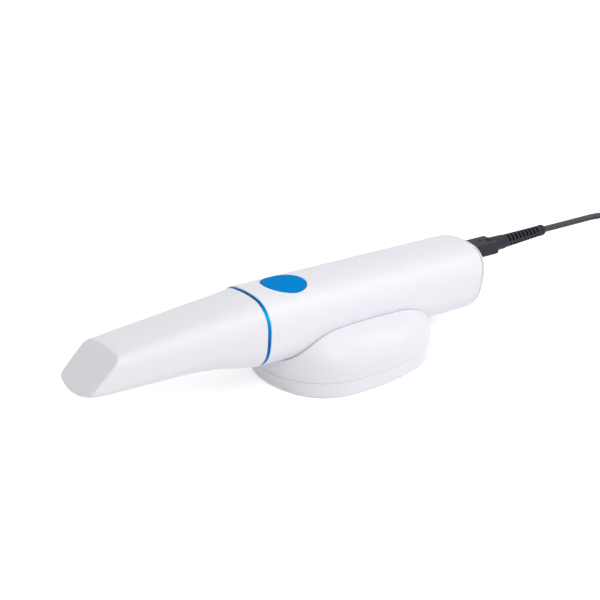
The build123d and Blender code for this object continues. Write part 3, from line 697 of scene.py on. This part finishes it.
def makeRearCap():
    # The slanted plate with a rounded rim, and the hollow spigot that fits inside the sleeve
    proud, gap, spigot, seat = [cap[key] for key in ("proud", "gap", "spigot", "seat")]
    hollow, floorAt = seat + cap["wall"], proud - cap["wall"]
    facing = handleRing(cap["inset"])[2][0]
    rim = roundEdge(slantRing(cap["inset"], proud)[0], towardsTip, slantInward(facing), cap["rounding"])
    face = shrinkTo(rim[-1], np.array([slantPlane(proud, 0.0), 0, 0]), 10)
    places = ((cap["inset"], gap), (seat, gap), (seat, -spigot), (hollow, -spigot), (hollow, floorAt))
    loops = [slantRing(*place) for place in places]
    floor = shrinkTo(loops[-1][0], np.array([slantPlane(floorAt, 0.0), 0, 0]), 6)
    grids = [rim, face, np.concatenate([loops[0], rim[:1]])]
    grids += [np.concatenate(pair) for pair in zip(loops, loops[1:])] + [floor]
    weld("rearCap", allClosed(inFrame(grids)), "base", "white_shell", "capWhite", "rear_cap")


makeRearCap()


def makeButton():
    # Rings out from the middle on a top that follows the handle, a rounded edge, a wall, the hidden flange
    angle = np.linspace(0, 2 * pi, button["columns"] + 1).reshape(1, -1)
    edge, radius, base = button["rounding"], button["radius"], button["base"]

    def disc(radii, heights):
        return wandGrid(button["x"] + column(radii) * np.cos(angle), column(radii) * np.sin(angle), heights)

    def crowned(radii, drop):
        shared = np.minimum(column(radii), radius - edge) * np.sin(angle)
        return disc(radii, handleTop(shared, -button["proud"]) - column(drop))

    flat = np.linspace(0, radius - edge, button["rows"] + 1)
    deep, back = quarter(edge, 5)
    top, shoulder = crowned(flat, 0 * flat), crowned(radius - back, deep)
    wide, high = radius + button["flange"], base + button["flangeThick"]
    skirt = np.concatenate([shoulder[-1:], disc([radius, wide, wide, 0.0], column([high, high, base, base]))])
    weld("scanButton", inFrame([top, shoulder, skirt]), "button", "button_blue", "buttonBlue", "button_cap")


makeButton()
print("handle made")

# Tip sleeve: place along the wand, width, top, bottom, corner radius and underside bulge of its sections
tip = {
    "sections": [
        (-0.75, 38.7, 16.8, -17.3, 13.2, 0.4), (-10.0, 37.5, 15.75, -15.85, 12.6, 0.45),
        (-20.0, 36.1, 14.6, -13.55, 11.1, 0.55), (-30.0, 34.8, 13.45, -12.1, 9.8, 0.7),
        (-40.0, 33.4, 12.3, -11.25, 8.6, 0.85), (-50.0, 32.1, 11.15, -11.0, 7.4, 1.0),
        (-60.0, 30.7, 10.0, -10.75, 6.2, 1.15), (-72.0, 29.1, 8.65, -10.5, 4.9, 1.3),
        (-84.0, 27.5, 7.3, -10.25, 3.9, 1.45), (-90.0, 26.7, 6.6, -9.68, 3.65, 1.52),
        (-96.0, 25.9, 5.9, -9.3, 3.4, 1.6)],
    "crown": 0.4, "flank": 0.1, "leastCorner": 1.5, "wall": 1.7, "lip": 0.25, "rounding": 1.2,
    "faceWall": 1.8, "bevelTop": (-74.4, 8.38), "bevelBottom": (-93.4, -10.1), "steps": (28, 20, 10),
    "rows": 90, "faceRows": 14, "passes": 12, "probe": 0.5,
}


def smoothThrough(places, values, wanted):
    # A natural cubic through given values: second slopes from a tridiagonal system, then a cubic per span
    gaps = np.diff(places)
    size = len(places)
    system, right = np.eye(size), np.zeros(size)
    for i in range(1, size - 1):
        system[i, i - 1:i + 2] = gaps[i - 1], 2 * (gaps[i - 1] + gaps[i]), gaps[i]
        right[i] = 6 * ((values[i + 1] - values[i]) / gaps[i] - (values[i] - values[i - 1]) / gaps[i - 1])
    bend = np.linalg.solve(system, right)
    span = np.clip(np.searchsorted(places, wanted) - 1, 0, size - 2)
    gap, low, high = gaps[span], wanted - places[span], places[span + 1] - wanted
    return ((bend[span] * high**3 + bend[span + 1] * low**3) / (6 * gap)
            + (values[span] / gap - bend[span] * gap / 6) * high
            + (values[span + 1] / gap - bend[span + 1] * gap / 6) * low)


tipTable = np.array(tip["sections"])[::-1]


def tipSurface(x, inset):
    # The tip's surface at places along the wand, as across, up and facing
    width, top, bottom, corner, keel = [smoothThrough(tipTable[:, 0], tipTable[:, i], x) for i in range(1, 6)]
    rounding = np.maximum(corner - inset, tip["leastCorner"])
    across, up, facing = ovalRing(width - 2 * inset, top - bottom - 2 * inset, rounding, tip["crown"],
                                  tip["flank"], tip["steps"], keel)
    return across, up + (top + bottom) / 2, facing


def tipRings(x, inset):
    # The tip's surface as points, without its facing
    return wandGrid(x, *tipSurface(x, inset)[:2])


def bevelPlane(depth):
    # A point and the outward direction of the slanted end, moved inwards by a depth, in wand coordinates
    (topX, topZ), (bottomX, bottomZ) = tip["bevelTop"], tip["bevelBottom"]
    out = unit(np.array([-(topZ - bottomZ), 0, topX - bottomX]))
    return np.array([(topX + bottomX) / 2, 0, (topZ + bottomZ) / 2]) - out * depth, out


def tipSkin(inset, depth, rounding, start):
    # One skin of the tip: rings from its open end to the slanted end, a rounded edge and the end's face.
    # Passes find where the slanted plane cuts the sleeve, a probe behind it gives the way back
    point, out = bevelPlane(depth)
    cutX = np.full((1, stepCount(tip["steps"])), point[0])
    for _ in range(tip["passes"]):
        cutX = point[0] - (tipSurface(cutX, inset)[1] - point[2]) * out[2] / out[0]
    corner, behind = tipRings(cutX, inset)[0], tipRings(cutX + tip["probe"], inset)[0]
    around = unit(np.roll(corner, -1, 0) - np.roll(corner, 1, 0))
    inward = np.cross(out, around)
    inward *= np.sign((inward * (point - corner)).sum(-1, keepdims=True))
    edge = roundEdge(corner, behind - corner, inward, rounding, 8, around) if rounding else corner[None]
    body = tipRings(start + (edge[:1, :, 0] - start) * column(np.linspace(0, 1, tip["rows"] + 1)), inset)
    body[-1] = edge[0]
    face = shrinkTo(edge[-1], edge[-1].mean(0), tip["faceRows"])
    return [body, edge, face] if rounding else [body, face]


def makeTip():
    # The two skins and a lip that turns in at the open end
    base = tip["sections"][0][0]
    outer = tipSkin(0, 0, tip["rounding"], base - tip["lip"])
    inner = tipSkin(tip["wall"], tip["faceWall"], 0, base)
    deep, back = quarter(tip["lip"])
    outline = tipSurface(np.full((1, stepCount(tip["steps"])), base), 0)
    lip = wandGrid(column(base - back), *sunk(*outline, deep))
    lip[0] = outer[0][0]
    grids = outer + inner + [lip, np.concatenate([lip[-1:], inner[0][:1]])]
    return weld("tipSleeve", allClosed(inFrame(grids)), "tip", "tip_white", "tipWhite", "tip_shell")


# The window in the tip's underside, cut through from a height inside to one well below
window = {"x": -74.5, "length": 17.0, "width": 19.0, "corner": 4.0, "top": -6.7, "below": -30.0,
          "columns": 48}


def cutWindow(piece):
    # Its cutter is a rounded rectangle in plan: corner arcs about four middles, joined by straight runs
    x, corner = window["x"], window["corner"]
    angle = np.linspace(0, 2 * pi, window["columns"] + 1)[:-1]
    diagonal = np.floor(angle / (pi / 2)) * pi / 2 + pi / 4
    planX = x + np.sign(np.cos(diagonal)) * (window["length"] / 2 - corner) + corner * np.cos(angle)
    planY = np.sign(np.sin(diagonal)) * (window["width"] / 2 - corner) + corner * np.sin(angle)
    wall = wandGrid(planX, planY, column([window["top"], window["below"]]))
    ends = [shrinkTo(row, np.array([x, 0, row[0, 2]]), 1) for row in wall]
    mesh = gridMesh("windowCutter", allClosed(inFrame([wall] + ends)))
    cutAway(piece, addObject("windowCutter", mesh))


cutWindow(makeTip())

# Light ring: where it starts and ends along the wand, how far it is sunk, its rounds and its hollow
ring = {"start": -0.45, "end": 0.7, "sink": 0.25, "edge": 0.14, "hole": 2.0, "rows": 3}


def makeLightRing():
    # A band between the tip's foot and the handle, with small rounds at its edges, hollow for the nose
    start, end, sink, edge, hole, rows = ring.values()
    crown, flank = handle["crown"], handle["flank"]
    width, top, bottom, corner = tip["sections"][0][1:5]
    halfWidth, halfHeight, rearCorner, *_ = handleCorner(-sink)
    rear = 2 * halfWidth, halfHeight, -halfHeight, rearCorner
    deep, back = quarter(edge)
    xs = np.concatenate([start + deep, np.linspace(start + edge, end - edge, rows + 2)[1:-1], end - back])
    pull = column(np.concatenate([back, np.zeros(rows), deep]))
    share = column((xs - start) / (end - start))
    wide, high, low, rounding = [first * (1 - share) + last * share
                                 for first, last in zip((width, top, bottom, corner), rear)]
    across, up, _ = ovalRing(wide - 2 * pull, high - low - 2 * pull, rounding - pull, crown, flank,
                             tip["steps"])
    band = wandGrid(column(xs), across, up + (high + low) / 2)
    across, up, _ = ovalRing(column([width - 2 * hole]), column([top - bottom - 2 * hole]), corner - hole,
                             crown, flank, tip["steps"])
    inside = wandGrid(column([xs[-1], xs[0]]), across, up + (top + bottom) / 2)
    loop = np.concatenate([band, inside, band[:1]])
    weld("lightRing", allClosed(inFrame([loop])), "base", "ring_blue", "ringBlue", "light_ring")


makeLightRing()
print("tip made")

# Cradle: a soft pebble in two halves; insets draw its outline in at the front, the rear and the sides
cradle = {
    "front": -47.8, "rear": 46.0, "width": 73.5, "side": 5.75, "crown": 1.6, "flank": 1.2,
    "foot": 0.3, "seam": 8.0, "seamGap": 0.1, "baseInsets": (1.9, 3.6, 0.7), "shoulder": 12.5, "dome": 29.0,
    "domeInsets": (23.0, 20.0, 20.5), "seamInset": 0.25, "wallTurn": -16.0, "topTurn": 88.0,
    "clearance": 0.7, "rim": 0.4, "seamRounding": 0.22, "footRounding": 1.0, "steps": (44, 40, 30),
    "rimPasses": 40, "domeRows": 60, "baseRows": 12, "troughShares": (0.97, 0.95, 20), "rimProbe": 1.0,
    "rimRunIn": 0.5, "barTurn": 0.62 * pi, "barPoints": 2401, "barSteps": (400, 400, 60), "sharpTurn": 40,
}


def cradleOutline(front, rear, side, largest):
    # The pebble's outline with its insets, as x, y and facing
    start, end = cradle["front"] + front, cradle["rear"] - rear
    corner = cradle["width"] / 2 - cradle["side"] - largest
    x, y, facing = ovalRing(end - start, cradle["width"] - 2 * side, corner, cradle["crown"], cradle["flank"],
                            cradle["steps"])
    return x + (start + end) / 2, y, facing


def seamOutline():
    # The pebble's outline where its halves meet
    return cradleOutline(*[column([cradle["seamInset"]])] * 4)


def domeSurface(turn):
    # The upper half by its turn in degrees: below 0 a wall that draws in towards the seam, above 0 an
    # ellipse that leans more and more as the wand does
    wall = np.clip(turn / cradle["wallTurn"], 0, 1)
    swing = radians(1) * np.maximum(turn, 0)
    inward = 1 - np.cos(swing)
    seam = cradle["seamInset"] * wall**2
    insets = [seam + inward * inset for inset in cradle["domeInsets"]]
    x, y, _ = cradleOutline(*insets, seam + inward * max(cradle["domeInsets"]))
    height = cradle["shoulder"] - (cradle["shoulder"] - cradle["seam"]) * wall
    height = height + (cradle["dome"] - cradle["shoulder"]) * np.sin(swing)
    lean = radians(wand["tilt"]) * np.sin(swing)
    return wandGrid(x * np.cos(lean), y, height - x * np.sin(lean))


def toWand(points):
    # Frame millimetres to wand coordinates
    lean = radians(wand["tilt"])
    x, z = points[..., 0] - wand["ringX"], points[..., 2] - wand["ringHeight"]
    return np.stack([x * cos(lean) - z * sin(lean), points[..., 1], x * sin(lean) + z * cos(lean)], -1)


def outsideBar(points, offset):
    # How far points lie outside the handle's outline grown by an offset, as the distance to its nearest arc
    local = toWand(points)
    y, z = np.abs(local[..., 1]), np.abs(local[..., 2])
    halfWidth, halfHeight, corner, cornerX, cornerY = handleCorner(offset)
    crownRadius, crownTurn = bulgeArc(cornerX, handle["crown"], corner)
    flankRadius, flankTurn = bulgeArc(cornerY, handle["flank"], corner)
    angle = np.arctan2(z - cornerY, y - cornerX)
    atCorner = np.hypot(y - cornerX, z - cornerY) - corner
    atCrown = np.hypot(y, z - halfHeight + crownRadius) - crownRadius
    atFlank = np.hypot(y - halfWidth + flankRadius, z) - flankRadius
    away = np.where(angle > pi / 2 - crownTurn, atCrown, atCorner)
    away = np.where(np.arctan2(y, z - halfHeight + crownRadius) < crownTurn, atCrown, away)
    return np.where((angle < flankTurn) & (y > cornerX), atFlank, away)


def cradleRim(offset):
    # For each column of the dome, the turn at which it meets the wand's bar, by halving
    low = np.full((1, stepCount(cradle["steps"])), cradle["wallTurn"])
    high = np.full_like(low, cradle["topTurn"])
    for _ in range(cradle["rimPasses"]):
        middle = (low + high) / 2
        outside = outsideBar(domeSurface(middle), offset) > 0
        low, high = np.where(outside, middle, low), np.where(outside, high, middle)
    return low


def unrolledBar():
    # The bar's outline with its clearance, by the angle from straight down: y, z and the length along it
    angles = np.linspace(-cradle["barTurn"], cradle["barTurn"], cradle["barPoints"])
    across, up, _ = handleRing(-cradle["clearance"], cradle["barSteps"])
    facing = np.arctan2(across[0], -up[0])
    order = np.argsort(facing)
    y, z = [np.interp(angles, facing[order], value[0][order]) for value in (across, up)]
    length = np.concatenate([[0], np.cumsum(np.hypot(np.diff(y), np.diff(z)))])
    return angles, y, z, length - np.interp(0, angles, length)


def weldCradle(name, grids, node):
    # Welds grids in frame millimetres
    grids = allClosed(grid * mm for grid in grids)
    weld(name, grids, "base", "cradle_white", "cradleWhite", node, cradle["sharpTurn"])


def makeCradleBody():
    # The dome up to the wand's bar, a rounded rim, the trough that follows the bar, the seam and the floor
    wallTurn, seamHeight = cradle["wallTurn"], cradle["seam"]
    rim = cradleRim(cradle["clearance"])
    corner, before = domeSurface(rim)[0], domeSurface(rim - cradle["rimProbe"])[0]
    around = unit(np.roll(corner, -1, 0) - np.roll(corner, 1, 0))
    angles, barY, barZ, length = unrolledBar()
    local = toWand(corner)
    along, bowed = local[:, 0], np.interp(np.arctan2(local[:, 1], -local[:, 2]), angles, length)
    middle = (along.min() + along.max()) / 2

    def trough(share):
        # The rim's line drawn in to a share of its size, over the bar's surface
        reach = bowed * share
        return wandPlace(middle + (along - middle) * share, np.interp(reach, length, barY),
                         np.interp(reach, length, barZ)) / mm

    def square(way):
        return way - around * (way * around).sum(-1, keepdims=True)

    firstShare, nextShare, troughRows = cradle["troughShares"]
    edge = roundEdge(corner, square(before - corner), square(trough(firstShare) - corner), cradle["rim"])
    run = np.linalg.norm(edge[0] - corner, axis=-1) / np.linalg.norm(before - corner, axis=-1)
    share = column(np.linspace(0, 1, cradle["domeRows"] + 1))
    dome = domeSurface(wallTurn + (rim - cradle["rimRunIn"] * run - wallTurn) * share)
    inside = np.concatenate([edge[-1:], [trough(share) for share in np.linspace(nextShare, 0, troughRows)]])
    deep, back = quarter(cradle["seamRounding"])
    seam = wandGrid(*sunk(*seamOutline(), back), column(seamHeight + deep))
    dome[-1], dome[0] = edge[0], seam[-1]
    floor = shrinkTo(seam[0], np.array([0, 0, seamHeight]), 6)
    weldCradle("cradleUpper", [dome, edge, inside, seam, floor], "cradle_body")


makeCradleBody()


def makeCradleBase():
    # The lower half: a slanted side from the seam in to the foot, rounded under and at the seam
    top, foot = cradle["seam"] - cradle["seamGap"], cradle["foot"]
    front, rear, side = [column([inset]) for inset in cradle["baseInsets"]]
    x, y, facing = seamOutline()
    upper = wandGrid(x, y, top)[0]
    lower = wandGrid(*cradleOutline(front, rear, side, rear)[:2], foot)[0]
    inward = -np.stack([np.cos(facing[0]), np.sin(facing[0]), 0 * facing[0]], -1)
    shoulder = roundEdge(upper, lower - upper, inward, cradle["seamRounding"], 4)
    under = roundEdge(lower, upper - lower, inward, cradle["footRounding"])
    share = np.linspace(0, 1, cradle["baseRows"] + 1).reshape(-1, 1, 1)
    flank = shoulder[0] + (under[0] - shoulder[0]) * share
    lid = shrinkTo(shoulder[-1], np.array([0, 0, top]), 6)
    floor = shrinkTo(under[-1], np.array([0, 0, foot]), 8)
    weldCradle("cradleLower", [lid, shoulder, flank, under, floor], "cradle_base")


makeCradleBase()
print("cradle made")

softened("plug_body", "plugBody", "base", "plug_grey", "plug", 0.22)
softened("strain_relief", "strainRelief", "base", "plug_grey", "relief", 0.18)
softened("nose", "tipNose", "base", "black_plastic", "blackPlastic", 0.15)
print("plug made")

# The CAD nodes that stay as they are get their finishes
nodeFinishes = {
    "blackPlastic": ["camera_barrel", "projector_barrel", "cable_socket", "button_switch"],
    "glass": ["nose_glass", "camera_lens", "projector_lens", "pattern_mask"],
    "mirror": ["tip_mirror"],
    "aluminium": ["optical_bench", "heat_spreader", "lamp_heatsink"],
    "board": ["main_board", "button_board", "camera_board", "led_board"],
    "chipBlack": ["image_processor", "camera_sensor"],
    "lampYellow": ["led_lamp"],
    "steel": ["board_screws", "cradle_screws", "cradle_weight", "plug_contact", "far_plug_shell"],
    "liner": ["cradle_liner"],
    "rubber": ["desk_pad"],
    "plug": ["far_plug_grip"],
}
for finishName, names in nodeFinishes.items():
    for name in names:
        materials = nodes[name].data.materials
        materials.clear()
        materials.append(finishes[finishName])
print("nodes finished")

# Studio: a pale floor, a world that is white to the camera, and soft lamps round the object
studio = {
    "floor": 3.0, "glow": 0.46, "fade": (0.32, 0.6),
    "worldSide": 0.71, "worldTop": 0.35, "worldLean": 0.14, "topTint": (0.94, 0.97, 1.0, 1.0),
    "lamps": [
        # name, place, aim, size, power
        ("keyLamp", (-0.2, -0.95, 0.95), (0.0, 0.0, 0.02), 0.7, 5.8),
        ("topLamp", (-0.1, 0.0, 1.3), (0.0, 0.0, 0.02), 0.9, 2.3),
        ("sideLamp", (0.75, -0.53, 0.82), (0.0, 0.0, 0.03), 0.5, 2.4),
    ],
}


def pathShare(finish):
    # 1 where the camera, a reflection or a clear piece sees the surface
    camera, glossy, clear = [finish.node("ShaderNodeLightPath", None, f"Is {kind} Ray")
                             for kind in ("Camera", "Glossy", "Transmission")]
    return finish.maths("MINIMUM", camera + glossy + clear, 1.0)


def makeFloor():
    # Matte white with a faint glow near the object, where it keeps the shadow, and plain white further off
    finish = Finish("floorWhite")
    seen = pathShare(finish)
    glow = finish.node("ShaderNodeEmission", {"Color": white, "Strength": seen * studio["glow"]})
    matte = finish.node("ShaderNodeBsdfDiffuse", {"Color": (0.9, 0.9, 0.9, 1)})
    close = finish.node("ShaderNodeAddShader", {0: glow, 1: matte})
    plain = finish.node("ShaderNodeEmission", {"Color": white})
    away = finish.vector("LENGTH", finish.place(), output="Value")
    fade = finish.spread(away, *studio["fade"], interpolation_type="SMOOTHSTEP")
    both = finish.node("ShaderNodeMixShader", {0: fade * seen, 1: close, 2: plain})
    half = studio["floor"]
    corners = [(-half, -half, 0), (half, -half, 0), (half, half, 0), (-half, half, 0)]
    mesh = bpy.data.meshes.new("floor")
    mesh.from_pydata(corners, [], [(0, 1, 2, 3)])
    mesh.materials.append(finish.surface(both))
    addObject("floor", mesh)


def makeWorld():
    # White for the camera and in reflections. As light it is dimmer and cooler from above, and stronger from
    # the cable's side than from the tip's
    finish = Finish("studio", bpy.data.worlds)
    direction = finish.node("ShaderNodeTexCoord", None, "Generated")
    across, upward = finish.part(direction, "X"), finish.part(direction, "Z")
    rise = finish.maths("MAXIMUM", upward, 0.0)
    side, top, lean = studio["worldSide"], studio["worldTop"], studio["worldLean"]
    soft = finish.node("ShaderNodeBackground", {
        "Color": finish.mix(rise, white, studio["topTint"]),
        "Strength": rise * (top - side) + side + across * lean})
    bright = finish.node("ShaderNodeBackground", {"Color": white})
    both = finish.node("ShaderNodeMixShader", {0: pathShare(finish), 1: soft, 2: bright})
    finish.node("ShaderNodeOutputWorld", {"Surface": both})
    bpy.context.scene.world = finish.owner


def makeLamps():
    for name, place, aim, size, power in studio["lamps"]:
        data = bpy.data.lights.new(name, "AREA")
        data.shape = "DISK"
        data.size = size
        data.energy = power
        lamp = addObject(name, data)
        lamp.location = place
        lamp.rotation_euler = (Vector(aim) - Vector(place)).to_track_quat("-Z", "Y").to_euler()


makeFloor()
makeWorld()
makeLamps()
bpy.context.scene.view_settings.view_transform = "Standard"
print("studio made")
